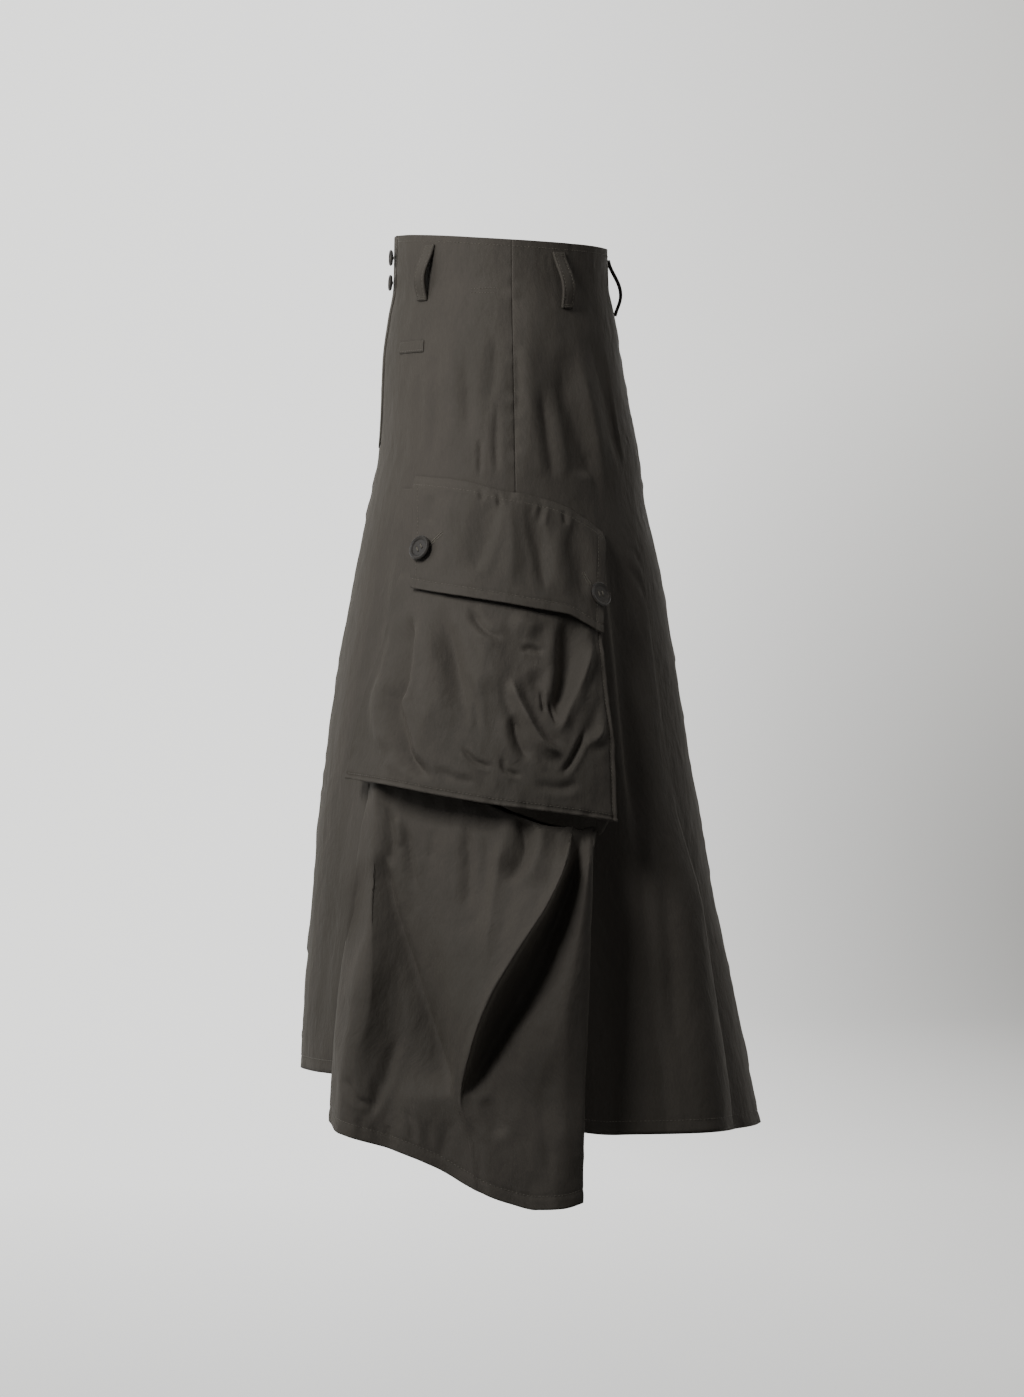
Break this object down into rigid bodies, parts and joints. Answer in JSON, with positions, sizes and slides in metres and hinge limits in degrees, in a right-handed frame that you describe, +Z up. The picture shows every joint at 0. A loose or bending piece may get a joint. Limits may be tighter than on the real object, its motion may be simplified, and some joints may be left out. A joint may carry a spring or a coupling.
{
  "type": "cargo utility skirt",
  "caption": "Long flared skirt in its worn form, open at waist and hem, with belt loops, a fly lap, a buttoned bellows pocket at one side and a draped panel hanging below it.",
  "frame": {"origin": "centre of the waist opening, where the skirt is held", "axes": "+Z up out of the waist, -Y to the front, +X to the wearer's left, where the pocket is"},
  "size_m": [0.5633, 0.4291, 0.888],
  "materials": {
    "cloth": "dark olive-brown plain-weave cloth, matt",
    "buttons": "dark brown, satin"
  },
  "bodies": {
    "root": {"front_left": "cloth", "front_right": "cloth", "back_left": "cloth", "back_right": "cloth", "fly_lap": "cloth", "coin_welt": "cloth", "cargo_pocket": "cloth", "pocket_gusset": "cloth", "cargo_flap": "cloth", "side_drape": "cloth", "belt_loop_front_left": "cloth", "belt_loop_side_left": "cloth", "belt_loop_back": "cloth", "belt_loop_side_right": "cloth", "belt_loop_front_right": "cloth", "waist_button_1": "buttons", "waist_button_2": "buttons", "flap_button_front": "buttons", "flap_button_back": "buttons"}
  },
  "joints": []
}
